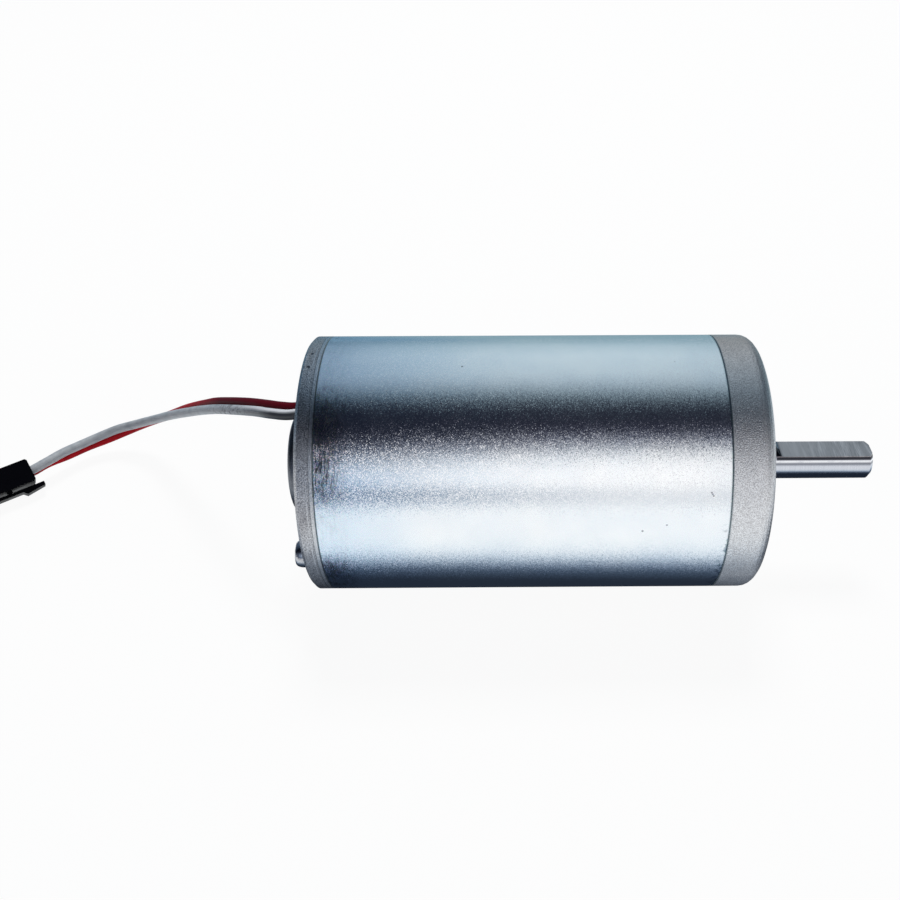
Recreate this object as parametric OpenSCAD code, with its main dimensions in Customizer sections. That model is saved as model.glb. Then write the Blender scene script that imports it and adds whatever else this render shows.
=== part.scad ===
// Brushed dc motor, 54 mm round housing, 8 mm shaft with a flat, two leads to a plug.
// The shaft runs along +X. The origin is the centre of the front mounting face.

/* [Housing] */
// Outside diameter of the tube and of both end caps
housing_d = 54; // [53:0.5:58]
// Wall of the steel tube
tube_wall = 3; // [2.6:0.1:3.2]
// Length of tube that shows between the caps
tube_len = 79.4; // [77:0.2:92]

/* [End caps] */
// Thickness of the front cap's plate
front_cap_t = 8.7; // [8.2:0.1:10]
// Radius on the front cap's outer edge
front_edge_r = 2.8; // [0.6:0.1:3.2]
// Thickness of the rear cap's plate
rear_cap_t = 3.7; // [3.6:0.1:5]
// Length of each spigot inside the tube
spigot_len = 4; // [3:0.1:4.2]
// Diameter of the pilot on the front face
pilot_d = 25; // [24:0.2:28]
// Height of the pilot
pilot_len = 2.5; // [1.5:0.1:4]
// Diameter of the rear bearing boss at its root
boss_d = 22.8; // [22.2:0.1:23]
// Height of the rear bearing boss
boss_len = 5; // [4.6:0.1:5.6]

/* [Front face holes] */
// Circle of the tapped mounting holes
face_circle_d = 36; // [34:0.5:38]
// Drilled diameter of the tapped mounting holes
face_hole_d = 3.3; // [2.5:0.1:4.2]
// Depth of the tapped mounting holes
face_hole_depth = 7; // [4:0.1:7.2]

/* [Shaft] */
// Diameter of the output shaft
shaft_d = 8; // [7.9:0.05:8]
// Length of shaft in front of the mounting face
shaft_out = 26.5; // [22:0.1:40]
// Depth of the milled flat
flat_depth = 1; // [0.5:0.05:1.2]
// Length of the milled flat
flat_len = 20.7; // [10:0.1:21]
// Chamfer at the shaft's tip
tip_chamfer = 0.7; // [0.2:0.1:1.2]
// Diameter of the shaft through the rotor
shaft_mid_d = 10; // [9.2:0.1:10.4]

/* [Bearings] */
// Outside diameter of the front bearing
front_bearing_od = 22; // [21.6:0.1:24]
// Width of the front bearing
front_bearing_w = 7; // [6.6:0.1:8]
// Bore of the rear bearing
rear_bearing_bore = 6; // [5.6:0.1:6.4]
// Outside diameter of the rear bearing
rear_bearing_od = 19; // [18.6:0.1:19]
// Width of the rear bearing
rear_bearing_w = 6; // [5.6:0.1:6]
// Ball diameter of the front bearing
front_ball_d = 3.96; // [3.6:0.01:4.1]
// Ball diameter of the rear bearing
rear_ball_d = 3.5; // [3.2:0.01:3.6]

/* [Through bolts] */
// Diameter of the two through bolts
bolt_d = 3; // [2.5:0.1:3]
// Distance of the bolts' axes from the tube's inner wall
bolt_inset = 2.4; // [2.2:0.05:2.6]
// Length of bolt in the front cap
bolt_grip = 4.5; // [3:0.1:5]
// Diameter of the bolt heads
bolt_head_d = 5.7; // [5:0.1:6]
// Height of the bolt heads
bolt_head_h = 2; // [1.6:0.1:2.4]
// Thickness of the lock washers
lock_washer_t = 0.8; // [0.5:0.1:1]

/* [Rotor] */
// Gap between the magnets and the armature core
air_gap = 0.75; // [0.5:0.05:1.7]
// Number of slots and of commutator segments
slots = 12; // [8:1:14]
// Turn of the slots along the core, in degrees
slot_skew = 12; // [0:1:20]
// Share of the room from the shaft's core seat up to the core's surface that the commutator takes
commutator_share = 0.44; // [0.41:0.01:0.45]
// Length of the commutator
commutator_len = 11.4; // [10:0.1:12]
// Room for the winding's end turns
end_turn_len = 9; // [7:0.1:9.4]

/* [Magnets] */
// Thickness of each magnet
magnet_t = 5.7; // [4.5:0.1:5.8]
// Angle that each magnet covers, in degrees
magnet_angle = 134; // [110:1:140]

/* [Brush gear] */
// Width of a brush along the shaft
brush_w = 5; // [4:0.1:5.4]
// Breadth of a brush across the shaft
brush_b = 6; // [5:0.1:6.2]
// Length of a brush spring at rest
brush_spring_len = 5; // [4.6:0.1:6]
// Travel of a brush in its holder
brush_travel = 2.4; // [1:0.1:2.6]
// Thickness of the insulating brush plate
brush_plate_t = 1.6; // [1.2:0.1:2]

/* [Leads and plug] */
// Outside diameter of a lead
lead_d = 2.2; // [1.8:0.1:2.25]
// Height of the lead exit above the shaft's axis
exit_z = 14.4; // [14.4:0.1:14.6]
// Distance between the two leads at the exit
exit_pitch = 2.6; // [2.5:0.05:2.7]
// Length of the plug housing
plug_len = 17.5; // [15:0.5:20]
// Thickness of the plug housing
plug_w = 5.8; // [5.4:0.1:6]
// Height of the plug housing
plug_h = 6.4; // [6.2:0.1:6.6]
// Distance between the plug's two contacts
plug_pitch = 2.5; // [2.4:0.05:2.6]

/* [Hidden] */
$fn = 96;

// Clearances and overruns shared by the pieces
fit_gap = 0.05;
slide_gap = 0.1;
cut_over = 1;

// Bore, outside diameter and width of each bearing
front_bearing = [shaft_d, front_bearing_od, front_bearing_w];
rear_bearing = [rear_bearing_bore, rear_bearing_od, rear_bearing_w];

// Places along the shaft
tube_front = -front_cap_t;
tube_rear = tube_front - tube_len;
rear_face = tube_rear - rear_cap_t;
boss_end = rear_face - boss_len;

// Housing and caps
housing_r = housing_d / 2;
tube_inner_r = housing_r - tube_wall;
tube_edge = 0.15;
spigot_r = tube_inner_r - fit_gap;
bolt_r = tube_inner_r - bolt_inset;
bolt_wall = 0.6;
bolt_clear = 0.2;
bolt_hole_r = bolt_d / 2 + bolt_clear;
spigot_inner_r = bolt_r - bolt_hole_r - bolt_wall;
cap_edge = 0.15;
cap_rear_edge = 0.6;
pilot_edge = 0.5;
pilot_relief = 1.2;
pilot_relief_t = 0.4;
bearing_land_t = 2;
hub_wall = 3;
hub_len = 1;
front_bearing_r = front_bearing[1] / 2;
rear_bearing_r = rear_bearing[1] / 2;
front_bearing_x = -bearing_land_t - front_bearing[2];
land_w = 4.2;
land_hole_r = front_bearing_r - land_w;
boss_draft = 0.6;
boss_edge = 1.2;
boss_root = 0.5;
boss_floor_t = 1.3;
washer_room = 0.7;
rear_pocket_x = boss_end + boss_floor_t;
rear_bearing_x = rear_pocket_x + washer_room;
bolt_angle = 200;
face_hole_turn = 45;
bolt_tip_x = tube_front + bolt_grip;
bolt_tip_room = 0.5;

// Rotor and magnets, outwards from the shaft's axis
magnet_r = tube_inner_r - fit_gap;
core_r = magnet_r - magnet_t - air_gap;
commutator_d = shaft_mid_d + (2 * core_r - shaft_mid_d) * commutator_share;

// Brush gear, counted from the rear cap's inner face
plate_standoff = 2.8;
plate_rear = tube_rear + plate_standoff;
plate_front = plate_rear + brush_plate_t;
plate_r = spigot_inner_r - 2 * slide_gap;
plate_hole_gap = 1.5;
plate_hole_r = commutator_d / 2 + plate_hole_gap;
screw_d = 2.5;
screw_head_d = 4.2;
screw_r = plate_r - screw_head_d / 2;
screw_head_h = 1.4;
screw_boss_r = 2.7;
screw_depth = 6.2;
holder_wall = 0.6;
holder_back = 0.8;
brush_x = plate_front + holder_back + slide_gap;
brush_gap = 0.1;
brush_in_z = commutator_d / 2 + brush_gap;
holder_in_z = commutator_d / 2 + 1.5 * plate_hole_gap;
holder_corner = brush_b / 2 + slide_gap + holder_wall;
holder_gap = 0.4;
holder_out_z = sqrt(pow(tube_inner_r - 2 * fit_gap - holder_gap, 2) - pow(holder_corner, 2));
spring_out_z = holder_out_z - holder_wall;
brush_out_z = spring_out_z - brush_spring_len;
brush_len = brush_out_z - brush_in_z;

// Rotor, between the brush gear and the front bearing
commutator_over = 0.8;
commutator_rear = brush_x - commutator_over;
commutator_front = commutator_rear + commutator_len;
riser_len = 1.5;
riser_h = 1.4;
hub_over = 0.4;
turn_gap = 0.6;
core_rear = commutator_front + turn_gap + end_turn_len;
front_room = 6;
core_front = front_bearing_x - front_room - end_turn_len;
insulator_t = 0.8;
magnet_over = 6;
shaft_mid_rear = commutator_rear - 1.5 * commutator_over;

// The plug leans on its edge and its latch, on the surface that the motor lies on
plug_place = [-170.4, 23.8];
plug_turn = 218;
plug_roll = -45;
plug_lift = 5;

// Routes of the two leads, from the grommet to the contacts in the plug
lead_white_route = [[-93, -1.3, 14.4], [-96.3, -1.7, 14.1], [-100.1, -0.7, 13.7], [-103.8, 2.2, 12.1],
    [-107.6, 5.6, 9.9], [-111.6, 8.9, 7.7], [-115.6, 12.5, 5.2], [-119.5, 16.3, 2.3],
    [-123.4, 20, -0.7], [-127.4, 23.6, -3.8], [-131.4, 27, -6.8], [-135.4, 30.2, -9.8],
    [-139.3, 33.2, -12.8], [-143.5, 35.8, -15.6], [-148.1, 37.3, -17.9], [-152.6, 37.8, -19.6],
    [-156.8, 36.6, -20.8], [-160.8, 33.9, -21.3], [-164.4, 30.1, -21.1], [-167.3, 26.1, -21],
    [-169.9, 23.1, -21.1], [-171.9, 21.5, -21.1]];
lead_red_route = [[-93, 1.3, 14.4], [-95.5, 1.3, 13.8], [-98.5, 2.2, 13.3], [-102.1, 4.4, 12.2],
    [-106, 7.4, 10.5], [-110, 10.8, 8.3], [-114, 14.4, 5.8], [-118, 18.2, 3],
    [-121.9, 21.9, -0.2], [-125.9, 25.6, -3.5], [-129.9, 29, -6.8], [-133.9, 32.1, -10.2],
    [-137.8, 35.1, -13.5], [-142.1, 37.6, -16.5], [-146.7, 39, -19.2], [-151.4, 39.1, -21.4],
    [-156.1, 37.9, -22.9], [-160.7, 35.5, -23.5], [-164.6, 31.7, -23.4], [-168.2, 27.7, -22.8],
    [-170.9, 24.5, -22.9], [-173, 22.9, -22.9]];

// Puts a shape drawn round local Z on the shaft's axis, with local X along +Y and local Y up
module on_axis(x = 0) {
    translate([x, 0, 0]) rotate([90, 0, 90]) children();
}

// A ring or disc on the shaft's axis
module ring(x, length, outer, inner) {
    on_axis(x) difference() {
        cylinder(h = length, r = outer);
        translate([0, 0, -cut_over]) cylinder(h = length + 2 * cut_over, r = inner);
    }
}

// A sector of a ring, from one angle to another
module sector(x, length, outer, inner, from, to) {
    steps = 12;
    reach = 2 * outer;
    on_axis(x) difference() {
        intersection() {
            cylinder(h = length, r = outer);
            linear_extrude(length) polygon(concat([[0, 0]],
                [for (i = [0:steps]) let (a = from + (to - from) * i / steps)
                    [reach * cos(a), reach * sin(a)]]));
        }
        translate([0, 0, -cut_over]) cylinder(h = length + 2 * cut_over, r = inner);
    }
}

// Repeats a shape round the shaft's axis
module around(count, first = 0) {
    for (i = [0:count - 1]) rotate([first + i * 360 / count, 0, 0]) children();
}

// A flat-sided slot with round ends, across local X
module oval(width, height, depth) {
    side = width - height;
    for (s = [-1, 1]) translate([s * side / 2, 0, 0]) cylinder(h = depth, d = height);
    translate([-side / 2, -height / 2, 0]) cube([side, height, depth]);
}

function unit(v) = v / norm(v);
function heading(route, i) = unit(
    (i < len(route) - 1 ? unit(route[i + 1] - route[i]) : [0, 0, 0])
    + (i > 0 ? unit(route[i] - route[i - 1]) : [0, 0, 0]));

// A round tube swept along a route
module sweep(route, d, sides = 8) {
    rings = len(route);
    points = [for (i = [0:rings - 1]) let (t = heading(route, i),
            side = unit(cross([0, 0, 1], t)), up = cross(t, side))
        for (j = [0:sides - 1]) let (a = (j + 0.5) * 360 / sides)
            route[i] + d / 2 * (cos(a) * side + sin(a) * up)];
    walls = [for (i = [0:rings - 2]) for (j = [0:sides - 1]) let (k = (j + 1) % sides,
            a = i * sides + j, b = i * sides + k, c = a + sides, e = b + sides)
        each [[a, e, b], [a, c, e]]];
    start = [[for (j = [0:sides - 1]) j]];
    end = [[for (j = [sides - 1:-1:0]) (rings - 1) * sides + j]];
    polyhedron(points, concat(walls, start, end));
}

module housing_tube() {
    color([0.72, 0.77, 0.84]) on_axis() rotate_extrude() polygon([
        [tube_inner_r, tube_rear], [housing_r - tube_edge, tube_rear],
        [housing_r, tube_rear + tube_edge], [housing_r, tube_front - tube_edge],
        [housing_r - tube_edge, tube_front], [tube_inner_r, tube_front]]);
}

module front_end_cap() {
    hub_r = front_bearing_r + hub_wall;
    pilot_r = pilot_d / 2;
    arc = [for (a = [90:-15:0])
        [housing_r - front_edge_r + front_edge_r * cos(a), -front_edge_r + front_edge_r * sin(a)]];
    color([0.66, 0.65, 0.64]) difference() {
        on_axis() rotate_extrude() polygon(concat(
            [[land_hole_r, pilot_len], [pilot_r - pilot_edge, pilot_len],
                [pilot_r, pilot_len - pilot_edge], [pilot_r, -pilot_relief_t],
                [pilot_r + pilot_relief, -pilot_relief_t], [pilot_r + pilot_relief, 0]],
            arc,
            [[housing_r, tube_front + cap_edge], [housing_r - cap_edge, tube_front],
                [spigot_r, tube_front], [spigot_r, tube_front - spigot_len],
                [spigot_inner_r, tube_front - spigot_len], [spigot_inner_r, tube_front],
                [hub_r, tube_front], [hub_r, front_bearing_x - hub_len],
                [front_bearing_r + fit_gap, front_bearing_x - hub_len],
                [front_bearing_r + fit_gap, -bearing_land_t], [land_hole_r, -bearing_land_t]]));
        around(4, face_hole_turn) translate([0, face_circle_d / 2, 0]) on_axis(-face_hole_depth)
            cylinder(h = face_hole_depth + cut_over, d = face_hole_d);
        around(2, bolt_angle) translate([0, bolt_r, 0]) on_axis(tube_front - spigot_len - cut_over)
            cylinder(h = bolt_tip_x + bolt_tip_room - tube_front + spigot_len + cut_over,
                r = bolt_d / 2 + fit_gap);
    }
}

module rear_end_cap() {
    boss_r = boss_d / 2;
    tip_r = boss_r - boss_draft;
    pocket_r = rear_bearing_r + fit_gap;
    color([0.60, 0.60, 0.61]) difference() {
        union() {
            on_axis() rotate_extrude() polygon(concat(
                [[0, boss_end]],
                [for (a = [270:15:360]) [tip_r - boss_edge + boss_edge * cos(a),
                    boss_end + boss_edge + boss_edge * sin(a)]],
                [[boss_r, rear_face - boss_root], [boss_r + boss_root, rear_face],
                    [housing_r - cap_rear_edge, rear_face],
                    [housing_r, rear_face + cap_rear_edge],
                    [housing_r, tube_rear - cap_edge], [housing_r - cap_edge, tube_rear],
                    [spigot_r, tube_rear], [spigot_r, tube_rear + spigot_len],
                    [spigot_inner_r, tube_rear + spigot_len], [spigot_inner_r, tube_rear],
                    [pocket_r, tube_rear], [pocket_r, rear_pocket_x], [0, rear_pocket_x]]));
            around(2) translate([0, screw_r, 0]) on_axis(tube_rear)
                cylinder(h = plate_standoff, r = screw_boss_r);
        }
        around(2) translate([0, screw_r, 0]) on_axis(plate_front - screw_depth)
            cylinder(h = screw_depth, r = screw_d / 2 + fit_gap);
        around(2, bolt_angle) translate([0, bolt_r, 0]) on_axis(rear_face - cut_over)
            cylinder(h = rear_cap_t + spigot_len + 2 * cut_over, r = bolt_hole_r);
        grommet_cut();
        ring(plate_rear - strip_t - slide_gap, strip_t + slide_gap + cut_over,
            strip_in_r + strip_w + slide_gap, strip_in_r - slide_gap);
    }
}

// Two pan heads with cross recesses bear on lock washers and thread into the front cap
recess_w = 0.9;
recess_len = 3;
recess_depth = 1.2;
head_dome = 0.7;
module through_bolts() {
    head_x = rear_face - lock_washer_t;
    head_r = bolt_head_d / 2;
    color([0.75, 0.76, 0.78]) around(2, bolt_angle) translate([0, bolt_r, 0]) difference() {
        on_axis() rotate_extrude() polygon(concat([[0, head_x - bolt_head_h]],
            [for (a = [0:15:90]) [head_r - head_dome + head_dome * sin(a),
                head_x - bolt_head_h + 2 * head_dome * (1 - cos(a)) ]],
            [[head_r, head_x], [bolt_d / 2, head_x], [bolt_d / 2, bolt_tip_x], [0, bolt_tip_x]]));
        for (turn = [0, 90]) on_axis(head_x - bolt_head_h - cut_over) rotate([0, 0, turn])
            translate([-recess_len / 2, -recess_w / 2, 0])
            cube([recess_len, recess_w, cut_over + recess_depth]);
    }
}

washer_split = 0.5;
module bolt_lock_washers() {
    washer_r = bolt_head_d / 2 - head_dome / 5;
    color([0.30, 0.34, 0.42]) around(2, bolt_angle) translate([0, bolt_r, 0]) difference() {
        ring(rear_face - lock_washer_t, lock_washer_t, washer_r, bolt_d / 2 + slide_gap);
        translate([rear_face - lock_washer_t - cut_over, 0, -washer_split / 2])
            cube([lock_washer_t + 2 * cut_over, washer_r + cut_over, washer_split]);
    }
}

// Rubber grommet with a flange on each side of the rear cap and a hole for each lead
grommet_wall = 0.8;
grommet_lip = 0.8;
grommet_out = 1.2;
grommet_in = 0.8;
grommet_w = exit_pitch + lead_d + 2 * fit_gap + 2 * grommet_wall;
grommet_h = lead_d + 2 * fit_gap + 1.5 * grommet_wall;
grommet_end = rear_face - grommet_out;
module grommet_cut() {
    translate([0, 0, exit_z]) {
        on_axis(rear_face - cut_over)
            oval(grommet_w + 2 * fit_gap, grommet_h + 2 * fit_gap, rear_cap_t + 2 * cut_over);
        on_axis(tube_rear) oval(grommet_w + grommet_lip + 2 * fit_gap,
            grommet_h + grommet_lip + 2 * fit_gap, spigot_len + cut_over);
    }
}
module lead_grommet() {
    color([0.10, 0.10, 0.11]) difference() {
        translate([0, 0, exit_z]) {
            on_axis(grommet_end) oval(grommet_w, grommet_h, grommet_out + rear_cap_t + grommet_in);
            on_axis(grommet_end) oval(grommet_w + 2 * grommet_lip, grommet_h + 2 * grommet_lip,
                grommet_out);
            on_axis(tube_rear) oval(grommet_w + grommet_lip, grommet_h + grommet_lip, grommet_in);
        }
        for (s = [-1, 1]) translate([0, s * exit_pitch / 2, exit_z]) on_axis(grommet_end - cut_over)
            cylinder(h = grommet_out + rear_cap_t + grommet_in + 2 * cut_over,
                d = lead_d + 2 * fit_gap);
    }
}

// The shaft is stepped: rear journal, rear seat, rotor seat and output end
journal_over = 0.2;
journal_chamfer = 0.4;
rear_seat_d = 8;
flat_end_r = 1.5;
// Relief groove in front of the bearing, and the slightly smaller end that the flat is milled on
groove_w = 0.9;
groove_depth = 0.2;
end_start = 0.2;
end_ease = 0.02;
module shaft() {
    journal_r = rear_bearing[0] / 2;
    journal_end = rear_bearing_x - journal_over;
    shoulder_x = rear_bearing_x + rear_bearing[2];
    out_r = shaft_d / 2;
    flat_x = shaft_out - flat_len;
    end_x = flat_x + end_start;
    end_r = out_r - end_ease;
    groove_x = front_bearing_x + front_bearing[2];
    groove_r = out_r - groove_depth;
    color([0.74, 0.75, 0.77]) difference() {
        on_axis() rotate(90) rotate_extrude() polygon([[0, journal_end],
            [journal_r - journal_chamfer, journal_end], [journal_r, journal_end + journal_chamfer],
            [journal_r, shoulder_x], [rear_seat_d / 2, shoulder_x],
            [rear_seat_d / 2, shaft_mid_rear], [shaft_mid_d / 2, shaft_mid_rear],
            [shaft_mid_d / 2, front_bearing_x], [out_r, front_bearing_x], [out_r, groove_x],
            [groove_r, groove_x], [groove_r, groove_x + groove_w], [out_r, groove_x + groove_w],
            [out_r, end_x], [end_r, end_x], [end_r, shaft_out - tip_chamfer],
            [end_r - tip_chamfer, shaft_out], [0, shaft_out]]);
        translate([flat_x + flat_end_r, -shaft_d, out_r - flat_depth])
            cube([flat_len, 2 * shaft_d, shaft_d]);
        translate([flat_x + flat_end_r, shaft_d, out_r - flat_depth + flat_end_r])
            rotate([90, 0, 0]) cylinder(h = 2 * shaft_d, r = flat_end_r);
    }
}

// Outline of one armature slot, drawn outwards along local X: a narrow mouth and a round pocket
slot_mouth = 2;
slot_floor_share = 0.56;
slot_width_share = 0.30;
slot_lip = 1.4;
module slot_outline(inset = 0) {
    floor_r = core_r * slot_floor_share;
    half = core_r * slot_width_share / 2 * 12 / slots;
    top_r = core_r - slot_lip;
    polygon([[floor_r + inset, half / 2 - inset / 2], [top_r - inset, half - inset],
        [top_r - inset, -half + inset], [floor_r + inset, -half / 2 + inset / 2]]);
}

// Stack of slotted laminations on the shaft, with the slots turned along its length
module armature_core() {
    color([0.32, 0.33, 0.35]) on_axis(core_rear)
        linear_extrude(core_front - core_rear, twist = -slot_skew, slices = 4, $fn = 4)
        core_outline();
}
module core_outline(inset = 0) {
    difference() {
        circle(r = core_r - inset, $fn = 72);
        circle(r = shaft_mid_d / 2 + slide_gap, $fn = 48);
        for (i = [0:slots - 1]) rotate(i * 360 / slots) {
            slot_outline(-inset);
            translate([core_r - 2 * slot_lip, -slot_mouth / 2])
                square([3 * slot_lip, slot_mouth]);
        }
    }
}

// Insulating end plates, cut to the laminations' shape
module end_insulators() {
    color([0.75, 0.25, 0.15]) {
        on_axis(core_rear - insulator_t) linear_extrude(insulator_t) core_outline(slide_gap);
        on_axis(core_front) linear_extrude(insulator_t) rotate(slot_skew) core_outline(slide_gap);
    }
}

// Wire bundles in the slots, joined by a rounded ring of end turns at each end of the core
winding_gap = 0.25;
head_inner_gap = 1.6;
head_outer_gap = 1.8;
head_round = 2.4;
head_round_share = 0.45;
module armature_winding() {
    color([0.72, 0.36, 0.14]) {
        on_axis(core_rear - insulator_t - fit_gap)
            linear_extrude(core_front - core_rear + 2 * (insulator_t + fit_gap),
                twist = -slot_skew, slices = 4, $fn = 4)
            for (i = [0:slots - 1]) rotate(i * 360 / slots) slot_outline(winding_gap);
        end_turns(core_rear - end_turn_len, core_rear - insulator_t - fit_gap, -1);
        end_turns(core_front + insulator_t + fit_gap, core_front + end_turn_len, 1);
    }
}
module end_turns(from, to, side) {
    inner = shaft_mid_d / 2 + head_inner_gap;
    outer = core_r - head_outer_gap;
    round = min(head_round, (outer - inner) * head_round_share);
    base = side > 0 ? from : to;
    tip = side > 0 ? to : from;
    on_axis() rotate_extrude() polygon(concat([[inner, base]],
        [for (a = [0:30:90]) [inner + round * (1 - cos(a)),
            tip - side * round * (1 - sin(a))]],
        [for (a = [90:-30:0]) [outer - round * (1 - cos(a)),
            tip - side * round * (1 - sin(a))]],
        [[outer, base]]));
}

// Copper segments with a raised hook each, held in a moulded hub
segment_gap_angle = 4;
segment_share = 0.436;
segment_t = (commutator_d - shaft_mid_d) / 2 * segment_share;
module commutator_segments() {
    pitch = 360 / slots;
    outer = commutator_d / 2;
    color([0.72, 0.42, 0.24]) for (i = [0:slots - 1]) {
        from = i * pitch + segment_gap_angle / 2;
        to = (i + 1) * pitch - segment_gap_angle / 2;
        sector(commutator_rear, commutator_len, outer, outer - segment_t, from, to);
        sector(commutator_front - riser_len, riser_len, outer + riser_h, outer - segment_t,
            from + segment_gap_angle, to - segment_gap_angle);
    }
}
module commutator_hub() {
    color([0.15, 0.12, 0.10]) ring(commutator_rear - hub_over, commutator_len + hub_over,
        commutator_d / 2 - segment_t - fit_gap, shaft_mid_d / 2 + fit_gap);
}

// Ball bearing pieces, each drawn from its bearing's bore, outside diameter and width
shoulder_share = 0.62;
cage_share = 0.34;
cage_width_share = 0.72;
pocket_share = 0.2;
shield_t = 0.35;
shield_inset = 0.2;
balls_front = 7;
balls_rear = 6;
ball_turn = 11;
ball_gap = 0.045;
cage_gap = 0.09;
function pitch_r(b) = (b[0] + b[1]) / 4;
module bearing_ring(x, b, ball_d, outer) {
    groove_r = ball_d / 2 + ball_gap;
    step = ball_d / 2 * shoulder_share;
    from = outer ? pitch_r(b) + step : b[0] / 2;
    to = outer ? b[1] / 2 : pitch_r(b) - step;
    on_axis(x) rotate_extrude() difference() {
        translate([from, 0]) square([to - from, b[2]]);
        translate([pitch_r(b), b[2] / 2]) circle(r = groove_r, $fn = 48);
    }
}
module bearing_balls(x, b, ball_d, count) {
    around(count, ball_turn) translate([x + b[2] / 2, pitch_r(b), 0]) sphere(d = ball_d, $fn = 32);
}
module bearing_cage(x, b, ball_d, count) {
    width = b[2] * cage_width_share;
    half = ball_d / 2 * cage_share;
    pocket_in = pitch_r(b) - half - ball_d * pocket_share;
    difference() {
        ring(x + (b[2] - width) / 2, width, pitch_r(b) + half, pitch_r(b) - half);
        around(count, ball_turn) translate([x + b[2] / 2, pocket_in, 0]) rotate([-90, 0, 0])
            cylinder(h = b[1] / 2 - pocket_in, r = ball_d / 2 + cage_gap);
    }
}
module bearing_shields(x, b, ball_d) {
    step = ball_d / 2 * shoulder_share;
    for (at = [x + shield_inset, x + b[2] - shield_inset - shield_t])
        ring(at, shield_t, pitch_r(b) + step - fit_gap, pitch_r(b) - step + 2 * fit_gap);
}
module front_bearing_outer_ring() {
    color([0.62, 0.63, 0.66]) bearing_ring(front_bearing_x, front_bearing, front_ball_d, true);
}
module front_bearing_inner_ring() {
    color([0.62, 0.63, 0.66]) difference() {
        bearing_ring(front_bearing_x, front_bearing, front_ball_d, false);
        on_axis(front_bearing_x - cut_over)
            cylinder(h = front_bearing[2] + 2 * cut_over, r = front_bearing[0] / 2 + fit_gap / 2);
    }
}
module front_bearing_balls() {
    color([0.80, 0.81, 0.83]) bearing_balls(front_bearing_x, front_bearing, front_ball_d, balls_front);
}
module front_bearing_cage() {
    color([0.70, 0.58, 0.32]) bearing_cage(front_bearing_x, front_bearing, front_ball_d, balls_front);
}
module front_bearing_shields() {
    color([0.55, 0.56, 0.58]) bearing_shields(front_bearing_x, front_bearing, front_ball_d);
}
module rear_bearing_outer_ring() {
    color([0.62, 0.63, 0.66]) bearing_ring(rear_bearing_x, rear_bearing, rear_ball_d, true);
}
module rear_bearing_inner_ring() {
    color([0.62, 0.63, 0.66]) difference() {
        bearing_ring(rear_bearing_x, rear_bearing, rear_ball_d, false);
        on_axis(rear_bearing_x - cut_over)
            cylinder(h = rear_bearing[2] + 2 * cut_over, r = rear_bearing[0] / 2 + fit_gap / 2);
    }
}
module rear_bearing_balls() {
    color([0.80, 0.81, 0.83]) bearing_balls(rear_bearing_x, rear_bearing, rear_ball_d, balls_rear);
}
module rear_bearing_cage() {
    color([0.70, 0.58, 0.32]) bearing_cage(rear_bearing_x, rear_bearing, rear_ball_d, balls_rear);
}
module rear_bearing_shields() {
    color([0.55, 0.56, 0.58]) bearing_shields(rear_bearing_x, rear_bearing, rear_ball_d);
}

// Spring washer with three waves, which presses the rear bearing forward
wave_t = 0.2;
wave_margin = 0.05;
wave_w = 1.7;
module bearing_wave_washer() {
    steps = 48;
    outer = rear_bearing_r - wave_margin;
    rise = (washer_room - 2 * wave_margin - wave_t) / 2;
    mid = rear_pocket_x + washer_room / 2;
    points = [for (i = [0:steps - 1]) let (a = i * 360 / steps, x = mid + rise * cos(3 * a))
        each [for (c = [[outer - wave_w, -1], [outer, -1], [outer, 1], [outer - wave_w, 1]])
            [x + c[1] * wave_t / 2, c[0] * cos(a), c[0] * sin(a)]]];
    faces = [for (i = [0:steps - 1]) for (j = [0:3]) let (k = (j + 1) % 4, n = (i + 1) % steps,
            a = 4 * i + j, b = 4 * i + k, c = 4 * n + j, e = 4 * n + k)
        each [[a, b, e], [a, e, c]]];
    color([0.66, 0.68, 0.72]) polyhedron(points, faces);
}

// Two arc magnets glued in the tube, with a spring clip in each gap
module magnets() {
    color([0.16, 0.16, 0.17]) for (turn = [90, 270])
        sector(core_rear - magnet_over, core_front - core_rear + 2 * magnet_over, magnet_r,
            magnet_r - magnet_t, bolt_angle + turn - magnet_angle / 2,
            bolt_angle + turn + magnet_angle / 2);
}
clip_t = 0.4;
clip_gap_angle = 0.5;
clip_len_share = 0.5;
module magnet_clips() {
    span = core_front - core_rear;
    half = 90 - magnet_angle / 2 - clip_gap_angle;
    color([0.55, 0.57, 0.60]) for (turn = [0, 180])
        sector(core_rear + span * (1 - clip_len_share) / 2, span * clip_len_share, magnet_r,
            magnet_r - clip_t, bolt_angle + turn - half, bolt_angle + turn + half);
}

// Insulating plate that carries the brush gear, on two bosses of the rear cap
module brush_plate() {
    color([0.52, 0.33, 0.16]) difference() {
        ring(plate_rear, brush_plate_t, plate_r, plate_hole_r);
        around(2) translate([0, screw_r, 0]) on_axis(plate_rear - cut_over)
            cylinder(h = brush_plate_t + 2 * cut_over, r = screw_d / 2 + slide_gap);
    }
}
module plate_screws() {
    color([0.75, 0.76, 0.78]) around(2) translate([0, screw_r, 0]) difference() {
        union() {
            on_axis(plate_front - screw_depth) cylinder(h = screw_depth, d = screw_d);
            on_axis(plate_front) cylinder(h = screw_head_h, d = screw_head_d);
        }
        translate([plate_front + screw_head_h / 2, -screw_head_d, -recess_w / 2])
            cube([screw_head_h, 2 * screw_head_d, recess_w]);
    }
}

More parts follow.
